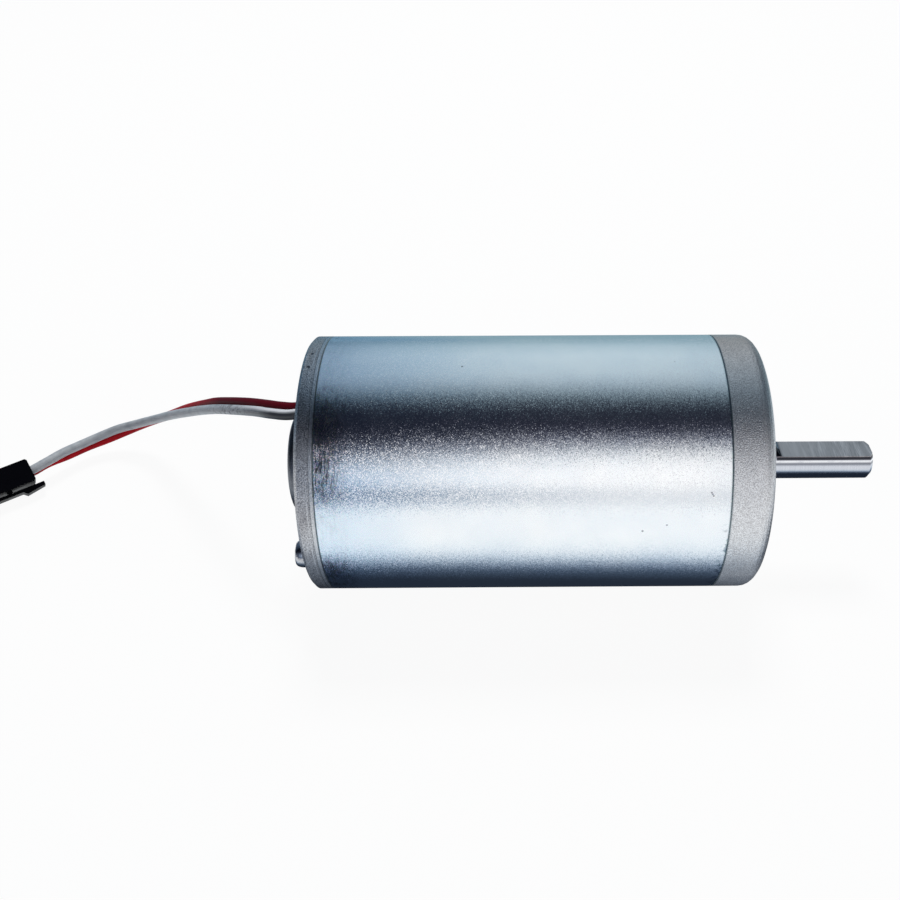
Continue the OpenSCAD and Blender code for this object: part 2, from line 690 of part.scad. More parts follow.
// Brass boxes that guide the brushes, each with a side slot for the pigtail
pigtail_d = 0.9;
pigtail_gap = 0.2;
pigtail_z_share = 0.2;
pigtail_lead = 0.9;
pigtail_bend = 2.6;
holder_len = holder_back + brush_w + 2 * slide_gap + holder_wall;
pigtail_z = brush_out_z - brush_len * pigtail_z_share;
pigtail_x = brush_x + brush_w / 2;
module brush_holders() {
    slot = pigtail_d + 2 * pigtail_gap;
    color([0.78, 0.62, 0.30]) around(2) difference() {
        translate([plate_front, -holder_corner, holder_in_z])
            cube([holder_len, 2 * holder_corner, holder_out_z - holder_in_z]);
        translate([brush_x - slide_gap, -brush_b / 2 - slide_gap, holder_in_z - cut_over])
            cube([brush_w + 2 * slide_gap, brush_b + 2 * slide_gap,
                spring_out_z - holder_in_z + cut_over]);
        translate([pigtail_x - slot / 2, 0, holder_in_z - cut_over])
            cube([slot, holder_corner + cut_over,
                pigtail_z + brush_travel + slot / 2 - holder_in_z + cut_over]);
    }
}

// Brass strips on the rear of the plate, from each lead to its brush's pigtail
strip_t = 0.5;
strip_w = 1.8;
strip_edge_gap = 0.3;
strip_in_r = plate_hole_r + strip_edge_gap;
pad_out_r = plate_r - strip_w / 4;
lead_angle = atan2(exit_z, exit_pitch / 2);
pigtail_y = brush_b / 2 + pigtail_lead + pigtail_bend;
pigtail_angle = atan2(pigtail_z, pigtail_y);
pad_angle = 6;
pad_end_angle = 8;
strip_end_angle = 10;
strip_gap_angle = 2;
lead_pad_angle = 12.4;
eyelet_r = pigtail_d / 2 + fit_gap;
module brush_terminals() {
    x = plate_rear - strip_t;
    color([0.80, 0.66, 0.34]) {
        sector(x, strip_t, pad_out_r, strip_in_r, pigtail_angle - pad_angle, 90 - strip_gap_angle);
        sector(x, strip_t, strip_in_r + strip_w, strip_in_r, 90 + strip_gap_angle,
            180 + pigtail_angle + strip_end_angle);
        sector(x, strip_t, pad_out_r, strip_in_r, 90 + strip_gap_angle,
            180 - lead_angle + lead_pad_angle);
        sector(x, strip_t, pad_out_r, strip_in_r, 180 + pigtail_angle - pad_angle,
            180 + pigtail_angle + pad_end_angle);
    }
}

// Carbon brushes with a face that follows the commutator
module brush() {
    color([0.20, 0.20, 0.21]) difference() {
        translate([brush_x, -brush_b / 2, brush_in_z - brush_len / 10])
            cube([brush_w, brush_b, brush_len + brush_len / 10]);
        on_axis(brush_x - cut_over) cylinder(h = brush_w + 2 * cut_over, r = brush_in_z);
    }
}
module upper_brush() {
    brush();
}
module lower_brush() {
    rotate([180, 0, 0]) brush();
}

// Coil springs between the brushes and the closed ends of their holders
spring_wire = 0.4;
spring_d = 3.2;
spring_turns = 4;
module brush_spring() {
    steps = 10;
    low = brush_out_z + spring_wire / 2 + fit_gap;
    high = spring_out_z - spring_wire / 2 - fit_gap;
    count = spring_turns * steps;
    coil = [for (i = [0:count]) let (a = i * 360 / steps)
        [pigtail_x + spring_d / 2 * cos(a), spring_d / 2 * sin(a), low + (high - low) * i / count]];
    color([0.70, 0.72, 0.75]) coil_tube(coil, spring_wire, 6);
}
module coil_tube(route, d, sides) {
    rings = len(route);
    points = [for (i = [0:rings - 1]) let (p = route[i], out = unit([p[0] - pigtail_x, p[1], 0]))
        for (j = [0:sides - 1]) let (a = j * 360 / sides)
            p + d / 2 * (cos(a) * out + sin(a) * [0, 0, 1])];
    walls = [for (i = [0:rings - 2]) for (j = [0:sides - 1]) let (k = (j + 1) % sides,
            a = i * sides + j, b = i * sides + k, c = a + sides, e = b + sides)
        each [[a, b, e], [a, e, c]]];
    start = [[for (j = [sides - 1:-1:0]) j]];
    end = [[for (j = [0:sides - 1]) (rings - 1) * sides + j]];
    polyhedron(points, concat(walls, start, end));
}
module upper_brush_spring() {
    brush_spring();
}
module lower_brush_spring() {
    rotate([180, 0, 0]) brush_spring();
}

// Flexible braids from the brushes' sides, round a quarter turn, to the brush plate
module pigtail() {
    start_y = brush_b / 2;
    bend_y = start_y + pigtail_lead;
    bend_x = pigtail_x - pigtail_bend;
    color([0.75, 0.45, 0.28]) translate([0, 0, pigtail_z]) {
        translate([pigtail_x, start_y, 0]) rotate([-90, 0, 0])
            cylinder(h = pigtail_lead, d = pigtail_d, $fn = 24);
        translate([bend_x, bend_y, 0]) rotate_extrude(angle = 90)
            translate([pigtail_bend, 0]) circle(d = pigtail_d, $fn = 24);
        translate([plate_front, bend_y + pigtail_bend, 0]) rotate([0, 90, 0])
            cylinder(h = bend_x - plate_front, d = pigtail_d, $fn = 24);
    }
}
module upper_pigtail() {
    pigtail();
}
module lower_pigtail() {
    rotate([180, 0, 0]) pigtail();
}

// The leads' straight ends through the grommet, soldered to the terminals
lead_joint_gap = 0.3;
module inner_leads() {
    from = grommet_end + lead_joint_gap;
    to = plate_rear - strip_t - fit_gap;
    color([0.80, 0.78, 0.76]) for (s = [-1, 1]) translate([0, s * exit_pitch / 2, exit_z])
        on_axis(from) cylinder(h = to - from, d = lead_d);
}
module lead_red() {
    color([0.62, 0.08, 0.10]) sweep(lead_red_route, lead_d);
}
module lead_white() {
    color([0.90, 0.91, 0.92]) sweep(lead_white_route, lead_d);
}

// Puts a shape at the plug: local X towards the mating end, local Y towards the latch
module at_plug() {
    translate([plug_place[0], plug_place[1], plug_lift - housing_r]) rotate([plug_roll, 0, plug_turn])
        children();
}
plug_edge = 0.4;
wire_hole_gap = 0.6;
wire_hole_d = lead_d + wire_hole_gap;
wire_hole_len = 4.5;
contact_w = 1.7;
contact_room = 0.1;
mouth_wall = 0.9;
mouth_depth = 6;
pivot_x = 6.5;
pivot_r = 0.6;
pivot_out = 0.5;
rib_h = 0.5;
rib_w = 0.9;
module connector_housing() {
    half_w = plug_w / 2;
    half_h = plug_h / 2;
    color([0.06, 0.06, 0.07]) at_plug() difference() {
        union() {
            translate([0, 0, -half_h]) linear_extrude(plug_h) polygon([
                [0, -half_w + plug_edge], [plug_edge, -half_w], [plug_len - plug_edge, -half_w],
                [plug_len, -half_w + plug_edge], [plug_len, half_w - plug_edge],
                [plug_len - plug_edge, half_w], [plug_edge, half_w], [0, half_w - plug_edge]]);
            translate([pivot_x, half_w + pivot_out, -half_h + rib_w])
                cylinder(h = plug_h - 2 * rib_w, r = pivot_r, $fn = 32);
            translate([pivot_x - pivot_r, 0, -half_h + rib_w])
                cube([2 * pivot_r, half_w + pivot_out, plug_h - 2 * rib_w]);
            for (z = [-half_h, half_h - rib_w]) translate([2 * pivot_x, half_w - plug_edge, z])
                cube([plug_len - 2 * pivot_x - plug_edge, plug_edge + rib_h, rib_w]);
        }
        for (s = [-1, 1]) translate([0, 0, s * plug_pitch / 2]) {
            translate([-cut_over, 0, 0]) rotate([0, 90, 0])
                cylinder(h = wire_hole_len + cut_over, d = wire_hole_d, $fn = 32);
            translate([wire_hole_len - contact_room, -contact_w / 2 - contact_room,
                -contact_w / 2 - contact_room])
                cube([plug_len, contact_w + 2 * contact_room, contact_w + 2 * contact_room]);
        }
        translate([plug_len - mouth_depth, -half_w + mouth_wall, -half_h + mouth_wall])
            cube([plug_len, plug_w - 2 * mouth_wall, plug_h - 2 * mouth_wall]);
    }
}

// Crimped contacts, one for each lead
barrel_d = 1.5;
contact_tip = 1.5;
contact_bore = 1;
contact_bore_depth = 4;
lead_in_plug = 2.6;
module connector_contacts() {
    box_len = plug_len - wire_hole_len - contact_tip;
    color([0.80, 0.68, 0.40]) at_plug() for (s = [-1, 1]) translate([0, 0, s * plug_pitch / 2])
        difference() {
            union() {
                translate([lead_in_plug, 0, 0]) rotate([0, 90, 0])
                    cylinder(h = wire_hole_len - lead_in_plug, d = barrel_d, $fn = 24);
                translate([wire_hole_len, -contact_w / 2, -contact_w / 2])
                    cube([box_len, contact_w, contact_w]);
            }
            translate([wire_hole_len + box_len - contact_bore_depth, -contact_bore / 2,
                -contact_bore / 2])
                cube([contact_bore_depth + cut_over, contact_bore, contact_bore]);
        }
}

// Latch lever that rocks on the ridge, with a thumb pad at the wire end and a hook at the other
latch_gap = 0.7;
latch_t = 0.8;
latch_h = 3.6;
latch_len = 15;
latch_pad = 0.8;
latch_pad_out = 1.5;
latch_pad_end = 3;
latch_lip = 0.1;
latch_hook = 1.2;
module connector_latch() {
    inner = plug_w / 2 + latch_gap;
    color([0.09, 0.09, 0.10]) at_plug() difference() {
        translate([0, 0, -latch_h / 2]) linear_extrude(latch_h) polygon([
            [-latch_pad_out, inner], [-latch_pad_out, inner + latch_t + latch_lip],
            [latch_pad_end, inner + latch_t + latch_pad],
            [latch_pad_end + latch_pad, inner + latch_t],
            [latch_len, inner + latch_t], [latch_len + latch_hook, inner + latch_t / 2],
            [latch_len + latch_hook, inner]]);
        translate([pivot_x, plug_w / 2 + pivot_out, -latch_h])
            cylinder(h = 2 * latch_h, r = pivot_r + fit_gap, $fn = 32);
    }
}

housing_tube();
front_end_cap();
rear_end_cap();
through_bolts();
bolt_lock_washers();
lead_grommet();
shaft();
armature_core();
end_insulators();
armature_winding();
commutator_segments();
commutator_hub();
front_bearing_outer_ring();
front_bearing_inner_ring();
front_bearing_balls();
front_bearing_cage();
front_bearing_shields();
rear_bearing_outer_ring();
rear_bearing_inner_ring();
rear_bearing_balls();
rear_bearing_cage();
rear_bearing_shields();
bearing_wave_washer();
magnets();
magnet_clips();
brush_plate();
plate_screws();
brush_holders();
brush_terminals();
upper_brush();
lower_brush();
upper_brush_spring();
lower_brush_spring();
upper_pigtail();
lower_pigtail();
inner_leads();
lead_red();
lead_white();
connector_housing();
connector_contacts();
connector_latch();
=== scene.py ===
import math

import bpy
from mathutils import Matrix, Vector


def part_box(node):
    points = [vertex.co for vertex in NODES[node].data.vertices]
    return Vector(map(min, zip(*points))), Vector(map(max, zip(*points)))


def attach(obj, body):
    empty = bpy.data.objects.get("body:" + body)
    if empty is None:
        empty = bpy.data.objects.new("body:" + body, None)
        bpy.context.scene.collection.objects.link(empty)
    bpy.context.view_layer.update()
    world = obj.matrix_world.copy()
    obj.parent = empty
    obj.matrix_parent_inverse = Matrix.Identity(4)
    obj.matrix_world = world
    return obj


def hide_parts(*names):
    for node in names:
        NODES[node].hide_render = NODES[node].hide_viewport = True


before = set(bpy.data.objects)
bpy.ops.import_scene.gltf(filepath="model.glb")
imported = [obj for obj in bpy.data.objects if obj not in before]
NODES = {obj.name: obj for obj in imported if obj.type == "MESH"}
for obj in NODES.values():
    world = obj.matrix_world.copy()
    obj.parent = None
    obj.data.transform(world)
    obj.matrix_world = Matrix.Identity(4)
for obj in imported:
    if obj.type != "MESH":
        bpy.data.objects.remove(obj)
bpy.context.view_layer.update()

MM = 0.001

# Places on the motor, in metres
TUBE_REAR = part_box("housing_tube")[0].x
TUBE_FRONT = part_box("housing_tube")[1].x
BODY_REAR = TUBE_REAR - 3.7 * MM
SHAFT_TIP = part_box("shaft")[1].x
FLAT_START = SHAFT_TIP - 20.7 * MM
FLAT_HEIGHT = 3 * MM
BRUSH_TRACK = -80.3 * MM
TABLE_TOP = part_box("housing_tube")[0].z - 0.02 * MM

# Sizes that the finishes follow
SPARKLE_SIZE = 0.12 * MM
SPARKLE_TILT = 0.14
TURNED_WIDTH = 0.8 * MM
RING_PITCH = 0.3 * MM
SHEET_PITCH = 0.5 * MM
TWIST_PITCH = 0.35 * MM
CUTTER_TURN = (0, 0, math.radians(-24))

# Colours of the finishes that the photograph shows, as shares of red, green and blue
ZINC_DULL = (0.87, 0.90, 0.93)
ZINC_BRIGHT = (0.93, 0.94, 0.95)
SMUDGE = (0.14, 0.15, 0.18)
SCUFF = (0.05, 0.06, 0.08)
SPECK = (0.12, 0.13, 0.16)
NICK = (0.10, 0.10, 0.13)
BLUE_TINT = (0.80, 0.89, 0.97)
TUBE_SEAM = (0.11, 0.20, 0.23)
SMEAR = (0.10, 0.17, 0.22)
BLAST_DARK = (0.565, 0.55, 0.555)
BLAST_LIGHT = (0.93, 0.93, 0.94)
# Painted light: a warmer, darker tint on the top strip of the front cap
FRONT_TOP_LIGHT_TINT = (1.04, 0.82, 0.73)
FRONT_SEAM = (0.11, 0.18, 0.20)
CAST_DARK = (0.26, 0.26, 0.275)
CAST_LIGHT = (0.68, 0.68, 0.705)
CAST_STAIN = (0.22, 0.21, 0.225)
# Painted highlight: a lighter tint on the top strip of the rear cap
REAR_TOP_HIGHLIGHT_TINT = (1.35, 1.15, 1.0)
PIT = (0.05, 0.05, 0.06)
BOSS_DARK = (0.10, 0.11, 0.13)
TURNED_RING = (0.74, 0.75, 0.77)
TURNED_LINE = (0.85, 0.86, 0.88)
REAR_SEAM = (0.04, 0.06, 0.07)
GROUND_DARK = (0.60, 0.61, 0.66)
GROUND_LIGHT = (0.66, 0.67, 0.72)
FLAT_DARK = (0.54, 0.49, 0.485)
FLAT_LIGHT = (0.75, 0.68, 0.67)
CUTTER_MARK = (0.26, 0.255, 0.27)
# Painted darker band, painted highlight line and a dark edge line along the shaft's front side
PAINTED_DARK_BAND = (0.16, 0.17, 0.20)
PAINTED_HIGHLIGHT_LINE = (0.97, 0.98, 0.99)
FLAT_EDGE_DARK = (0.03, 0.03, 0.04)
RED = (0.52, 0.006, 0.014)
RED_DEEP = (0.36, 0.004, 0.010)
# Painted shade on the red lead near the motor
RED_SHADED_AT_MOTOR = (0.11, 0.005, 0.011)
WHITE = (0.54, 0.56, 0.58)
WHITE_GREY = (0.40, 0.42, 0.45)
GRIME = (0.10, 0.10, 0.11)
# Painted highlight along the top of the white lead
WHITE_TOP_HIGHLIGHT = (0.82, 0.82, 0.85)
# Painted shade on the lower side of the white lead
LOWER_SIDE_SHADE = (0.02, 0.02, 0.028)

# Small dark nicks in the plating, each with its place and its reach in millimetres
NICKS = [
    ((-60.2, -3.2, 26.8), 0.28),
    ((-12.7, -24.2, 12.0), 0.24),
    ((-12.5, -24.35, 11.7), 0.24),
    ((-12.3, -24.5, 11.4), 0.22),
    ((-25.5, -26.6, 4.4), 0.28),
]

# Leads, with the routes that their solids follow in millimetres from the motor to the plug
LEAD_D = 2.2 * MM
WHITE_ROUTE = [
    (-93, -1.3, 14.4), (-96.3, -1.7, 14.1), (-100.1, -0.7, 13.7), (-103.8, 2.2, 12.1),
    (-107.6, 5.6, 9.9), (-111.6, 8.9, 7.7), (-115.6, 12.5, 5.2), (-119.5, 16.3, 2.3),
    (-123.4, 20, -0.7), (-127.4, 23.6, -3.8), (-131.4, 27, -6.8), (-135.4, 30.2, -9.8),
    (-139.3, 33.2, -12.8), (-143.5, 35.8, -15.6), (-148.1, 37.3, -17.9), (-152.6, 37.8, -19.6),
    (-156.8, 36.6, -20.8), (-160.8, 33.9, -21.3), (-164.4, 30.1, -21.1), (-167.3, 26.1, -21),
    (-169.9, 23.1, -21.1), (-171.9, 21.5, -21.1),
]
RED_ROUTE = [
    (-93, 1.3, 14.4), (-95.5, 1.3, 13.8), (-98.5, 2.2, 13.3), (-102.1, 4.4, 12.2),
    (-106, 7.4, 10.5), (-110, 10.8, 8.3), (-114, 14.4, 5.8), (-118, 18.2, 3),
    (-121.9, 21.9, -0.2), (-125.9, 25.6, -3.5), (-129.9, 29, -6.8), (-133.9, 32.1, -10.2),
    (-137.8, 35.1, -13.5), (-142.1, 37.6, -16.5), (-146.7, 39, -19.2), (-151.4, 39.1, -21.4),
    (-156.1, 37.9, -22.9), (-160.7, 35.5, -23.5), (-164.6, 31.7, -23.4), (-168.2, 27.7, -22.8),
    (-170.9, 24.5, -22.9), (-173, 22.9, -22.9),
]

# Studio: degrees up from the front horizon, and the light that comes from there
PANEL_STEPS = [
    (0, (0.84, 0.87, 0.90)),
    (11, (0.87, 0.89, 0.92)),
    (16, (1.1, 1.1, 1.1)),
    (36, (1.08, 1.08, 1.09)),
    (44, (0.86, 0.88, 0.90)),
    (52, (0.42, 0.44, 0.49)),
    (59, (0.13, 0.14, 0.19)),
    (65, (0.035, 0.038, 0.058)),
    (72, (0.014, 0.016, 0.028)),
    (84, (0.018, 0.021, 0.034)),
    (91, (0.05, 0.065, 0.085)),
    (97, (0.12, 0.165, 0.20)),
    (104, (0.25, 0.32, 0.37)),
    (112, (0.38, 0.47, 0.54)),
    (124, (0.49, 0.60, 0.67)),
    (148, (0.54, 0.66, 0.73)),
    (166, (0.43, 0.56, 0.63)),
    (180, (0.24, 0.37, 0.44)),
]
# From far left to far right, how much of that light there is
END_STEPS = [
    (0.0, (0.12, 0.14, 0.18)),
    (0.30, (0.20, 0.25, 0.34)),
    (0.40, (0.42, 0.51, 0.64)),
    (0.45, (0.70, 0.78, 0.86)),
    (0.50, (1.0, 1.0, 1.0)),
    (0.575, (1.02, 1.02, 1.02)),
    (0.62, (0.88, 0.89, 0.90)),
    (0.72, (0.78, 0.79, 0.81)),
    (0.86, (0.6, 0.61, 0.64)),
    (1.0, (0.2, 0.22, 0.25)),
]
FOOT_TINT = (0.26, 0.32, 0.40)
BACKDROP = (0.94, 0.95, 0.96)

# Table top, and the painted shade that the plating mirrors on it, at distances in millimetres from the line
# under the shaft
TABLE_SIZE = 12
TABLE_COLOUR = (0.9, 0.9, 0.9)
WHITE_SHARE = 0.94
SHADE_REACH = 90 * MM
SHADE_STEPS = [
    (22, (0.018, 0.026, 0.042)),
    (30, (0.06, 0.09, 0.14)),
    (35.5, (0.23, 0.30, 0.40)),
    (41.5, (0.55, 0.65, 0.75)),
    (48, (0.80, 0.88, 0.95)),
    (57, (0.93, 0.99, 1.02)),
    (75, (1.0, 1.03, 1.05)),
]
# Painted tone that the plating mirrors from the table behind the motor
BACK_TONE_LEFT = (0.15, 0.28, 0.40)
BACK_TONE = (0.255, 0.39, 0.455)
PURE_WHITE = (1.0, 1.0, 1.0)

# Lamp behind and above the motor
LAMP_PLACE = (-0.05, 0.42, 0.93)
LAMP_AIM = (-0.05, 0, 0)
LAMP_SIZE = 0.28
LAMP_POWER = 7.0
LAMP_COLOUR = (1.0, 0.99, 0.97)

# Camera, fitted to the outlines in the photograph
SENSOR_MM = 36
LENS_MM = 38.49
LENS_SHIFT = (-0.08, 0.01256)
LOOK_AT = (-50 * MM, 0, 0)
LOOK_DOWN = math.radians(39.5)
DISTANCE = 208.2 * MM
SWING = 0.0076
ROLL = -0.0055


class Nodes:
    """One node tree, built node by node from the place or the direction of each point."""

    def __init__(self, tree, coordinate):
        self.tree = tree
        self.point = tree.nodes.new("ShaderNodeTexCoord").outputs[coordinate]
        self.x, self.y, self.z = self.add("ShaderNodeSeparateXYZ", self.point).outputs

    def add(self, kind, *sources, **settings):
        """Adds a node, sets its options and feeds its inputs in their order."""
        node = self.tree.nodes.new(kind)
        for name, value in settings.items():
            setattr(node, name, value)
        for socket, source in zip(node.inputs, sources):
            if isinstance(source, bpy.types.NodeSocket):
                self.tree.links.new(source, socket)
            elif source is not None:
                socket.default_value = source
        return node

    def math(self, operation, first, second=0.0):
        return self.add("ShaderNodeMath", first, second, operation=operation).outputs[0]

    def both(self, first, second):
        return self.math("MULTIPLY", first, second)

    def either(self, first, second):
        return self.math("MAXIMUM", first, second)

    def stretch(self, along_x, along_y, along_z, turn=(0, 0, 0)):
        """The point with each direction scaled, so a round pattern becomes a streak."""
        node = self.add("ShaderNodeMapping", self.point)
        node.inputs["Scale"].default_value = (along_x, along_y, along_z)
        node.inputs["Rotation"].default_value = turn
        return node.outputs[0]

    def noise(self, size, detail=2.0, point=None, ragged=0.55):
        """Cloudy grain whose spots are about the given size in metres."""
        node = self.add("ShaderNodeTexNoise", point or self.point)
        node.inputs["Scale"].default_value = 1 / size
        node.inputs["Detail"].default_value = detail
        node.inputs["Roughness"].default_value = ragged
        return node.outputs["Fac"]

    def scatter(self, size):
        """Irregular cells of about the given size in metres."""
        node = self.add("ShaderNodeTexVoronoi", self.point)
        node.inputs["Scale"].default_value = 1 / size
        return node.outputs

    def cells(self, size):
        """Distance to the nearest of many scattered points, for pits and specks."""
        return self.scatter(size)["Distance"]

    def lines(self, pitch, point, wobble=0.0):
        """Parallel lines at a pitch in metres."""
        node = self.add("ShaderNodeTexWave", point)
        node.inputs["Scale"].default_value = math.pi / 10 / pitch
        node.inputs["Distortion"].default_value = wobble
        return node.outputs["Fac"]

    def fade(self, value, start, end, low=0.0, high=1.0):
        """Runs from low at start to high at end, and stays there."""
        return self.add("ShaderNodeMapRange", value, start, end, low, high).outputs[0]

    def near(self, value, place, reach):
        """One at a place, and nothing beyond its reach."""
        gap = self.math("ABSOLUTE", self.math("SUBTRACT", value, place))
        return self.fade(gap, 0.0, reach, 1.0, 0.0)

    def near_point(self, place, reach):
        """One at a point on the surface, and nothing beyond its reach."""
        node = self.add("ShaderNodeVectorMath", self.point, place, operation="DISTANCE")
        return self.fade(node.outputs["Value"], reach / 2, reach, 1.0, 0.0)

    def radius(self):
        """Distance from the shaft's axis."""
        squares = self.math("ADD", self.both(self.y, self.y), self.both(self.z, self.z))
        return self.math("SQRT", squares)

    def mix(self, share, first, second, way="MIX"):
        """A colour between two others, or the first one blended with the second in some way."""
        node = self.add("ShaderNodeMix", data_type="RGBA", blend_type=way)
        for socket, source in zip([node.inputs[0], node.inputs[6], node.inputs[7]], [share, first, second]):
            if isinstance(source, bpy.types.NodeSocket):
                self.tree.links.new(source, socket)
            elif isinstance(source, float):
                socket.default_value = source
            else:
                socket.default_value = (*source, 1)
        return node.outputs[2]

    def facing(self):
        """The way that the surface faces."""
        return self.add("ShaderNodeNewGeometry").outputs["Normal"]

    def ramp(self, value, steps):
        """Colours that follow a value, from places and colours in their order."""
        node = self.add("ShaderNodeValToRGB", value)
        stops = node.color_ramp.elements
        while len(stops) < len(steps):
            stops.new(0.5)
        for stop, step in zip(stops, steps):
            stop.position = step[0]
        for stop, step in zip(stops, steps):
            stop.color = (*step[1], 1)
        return node.outputs[0]


class Finish(Nodes):
    """One material, from the place of each point on the part."""

    def __init__(self, name, colour, metallic, roughness):
        self.material = bpy.data.materials.new(name)
        self.material.use_nodes = True
        super().__init__(self.material.node_tree, "Object")
        self.shader = self.tree.nodes["Principled BSDF"]
        self.set("Base Color", (*colour, 1))
        self.set("Metallic", metallic)
        self.set("Roughness", roughness)

    def set(self, name, value):
        """Sets one of the shader's sockets, or feeds it from a node."""
        socket = self.shader.inputs[name]
        if isinstance(value, bpy.types.NodeSocket):
            self.tree.links.new(value, socket)
        else:
            socket.default_value = value

    def dent(self, height, depth, under=None):
        """Relief with a depth in metres, laid over another relief."""
        node = self.add("ShaderNodeBump")
        node.inputs["Strength"].default_value = 1
        node.inputs["Distance"].default_value = depth
        self.tree.links.new(height, node.inputs["Height"])
        if under:
            self.tree.links.new(under, node.inputs["Normal"])
        self.set("Normal", node.outputs[0])
        return node.outputs[0]

    def facets(self, size, tilt):
        """Tiny crystal faces that lean their own way, some of them more than the rest."""
        chance = self.scatter(size)["Color"]
        lean = self.add("ShaderNodeVectorMath", chance, (0.5, 0.5, 0.5), operation="SUBTRACT")
        amount = self.both(self.add("ShaderNodeSeparateXYZ", chance).outputs[0], 2.0)
        push = self.add("ShaderNodeVectorMath", lean.outputs[0], operation="SCALE")
        self.tree.links.new(self.both(amount, tilt), push.inputs["Scale"])
        turned = self.add("ShaderNodeVectorMath", self.facing(), push.outputs[0], operation="ADD")
        unit = self.add("ShaderNodeVectorMath", turned.outputs[0], operation="NORMALIZE")
        self.set("Normal", unit.outputs[0])
        return chance

    def wear(self, *names):
        """Puts this finish on the named pieces."""
        for name in names:
            piece = NODES[name]
            if not piece.material_slots:
                piece.data.materials.append(self.material)
            for place in piece.material_slots:
                place.material = self.material


# Finishes that the photograph shows

def plated_tube():
    """Bright zinc plating with fine crystals, scuffed at the rear end."""
    tube = Finish("zinc_plated_tube", (0.90, 0.92, 0.94), metallic=1.0, roughness=0.17)
    cloud = tube.noise(0.011, 3)
    colour = tube.mix(tube.fade(cloud, 0.35, 0.65), ZINC_DULL, ZINC_BRIGHT)
    # Rubbed marks that run round the tube near the rear cap
    streaks = tube.noise(1.0, 4, tube.stretch(1700, 430, 430), 0.75)
    patches = tube.noise(0.007, 3, None, 0.6)
    rear = tube.fade(tube.x, TUBE_REAR + 1.5 * MM, TUBE_REAR + 7 * MM, 1.0, 0.0)
    high = tube.both(tube.fade(tube.z, 9 * MM, 14 * MM), tube.fade(tube.z, 24 * MM, 26 * MM, 1.0, 0.1))
    low = tube.fade(tube.z, -5 * MM, -1 * MM, 1.0, 0.12)
    rubbed = tube.both(tube.either(high, low), rear)
    smudge = tube.both(tube.fade(patches, 0.42, 0.62), rubbed)
    marks = tube.both(tube.fade(streaks, 0.48, 0.57), tube.both(tube.fade(patches, 0.33, 0.46), rubbed))
    colour = tube.mix(tube.both(smudge, 0.6), colour, SMUDGE)
    colour = tube.mix(tube.both(marks, 0.95), colour, SCUFF)
    # Small dark specks all over
    specks = tube.fade(tube.cells(0.0042), 0.03, 0.06, 1.0, 0.0)
    specks = tube.both(specks, tube.fade(tube.noise(0.009, 1), 0.52, 0.6))
    colour = tube.mix(tube.both(specks, 0.6), colour, SPECK)
    for place, reach in NICKS:
        nick = tube.near_point(tuple(MM * value for value in place), reach * MM)
        colour = tube.mix(tube.both(nick, 0.7), colour, NICK)
    # The plating is a little bluer low down near the rear end
    at_rear = tube.fade(tube.x, TUBE_REAR + 3 * MM, TUBE_REAR + 22 * MM, 1.0, 0.0)
    bluer = tube.both(at_rear, tube.fade(tube.z, 14 * MM, 19 * MM, 1.0, 0.0))
    colour = tube.mix(bluer, colour, BLUE_TINT, "MULTIPLY")
    # Dark bluish line where a cap meets the tube
    seam = tube.either(tube.near(tube.x, TUBE_REAR, 0.3 * MM), tube.near(tube.x, TUBE_FRONT, 0.4 * MM))
    colour = tube.mix(tube.both(seam, 0.75), colour, TUBE_SEAM)
    # Small smears beside the front cap, low on the tube
    low_front = tube.both(
        tube.fade(tube.z, 2 * MM, 7 * MM, 1.0, 0.0),
        tube.fade(tube.x, TUBE_FRONT - 2.2 * MM, TUBE_FRONT - 0.4 * MM),
    )
    smears = tube.both(tube.fade(tube.noise(0.0012, 3), 0.5, 0.6), low_front)
    colour = tube.mix(tube.both(smears, 0.75), colour, SMEAR)
    rough = tube.fade(tube.noise(0.004, 3), 0.3, 0.7, 0.14, 0.2)
    tube.set("Roughness", tube.either(rough, tube.both(marks, 0.5)))
    # The crystals lean most low down near the rear end and least along the top
    more = tube.both(at_rear, tube.fade(tube.z, 18 * MM, 20.5 * MM, 0.35, -0.35))
    lean = tube.both(tube.math("ADD", more, 1.0), tube.fade(tube.z, 24 * MM, 25.6 * MM, 1.0, 0.5))
    crystals = tube.facets(SPARKLE_SIZE, tube.both(lean, SPARKLE_TILT))
    tint = tube.fade(at_rear, 0.0, 1.0, 0.25, 0.4)
    tube.set("Base Color", tube.mix(tint, colour, crystals, "SOFT_LIGHT"))
    tube.wear("housing_tube")


def painted_top_light(cap):
    """The strip along the top of an end cap, where a painted tint stands in for the light that falls on it.
    """
    return cap.both(cap.near(cap.y, 8 * MM, 18 * MM), cap.fade(cap.z, 16 * MM, 23 * MM))


def below(cap, share):
    """A share that counts low down on an end cap, and nothing further up."""
    return cap.fade(cap.z, -9 * MM, -2 * MM, share, 0.0)


def blasted_front_cap():
    """Machined casting, blasted to an even fine grain."""
    cap = Finish("blasted_front_cap", (0.74, 0.70, 0.68), metallic=1.0, roughness=0.45)
    speck = cap.noise(0.00022, 1)
    colour = cap.mix(cap.fade(speck, 0.35, 0.65), BLAST_DARK, BLAST_LIGHT)
    # Painted light on the top strip of the cap
    colour = cap.mix(painted_top_light(cap), colour, FRONT_TOP_LIGHT_TINT, "MULTIPLY")
    seam = cap.near(cap.x, TUBE_FRONT, 0.35 * MM)
    cap.set("Base Color", cap.mix(cap.both(seam, 0.75), colour, FRONT_SEAM))
    rough = cap.fade(cap.noise(0.003, 3), 0.3, 0.7, 0.35, 0.43)
    cap.set("Roughness", cap.math("ADD", rough, below(cap, 0.22)))
    grain = cap.dent(speck, 0.08 * MM)
    # Turned rings on the flat front face
    rings = cap.math("SINE", cap.both(cap.radius(), 2 * math.pi / RING_PITCH))
    face = cap.fade(cap.x, -0.25 * MM, -0.1 * MM)
    cap.dent(cap.both(rings, face), 0.004 * MM, grain)
    cap.wear("front_end_cap")


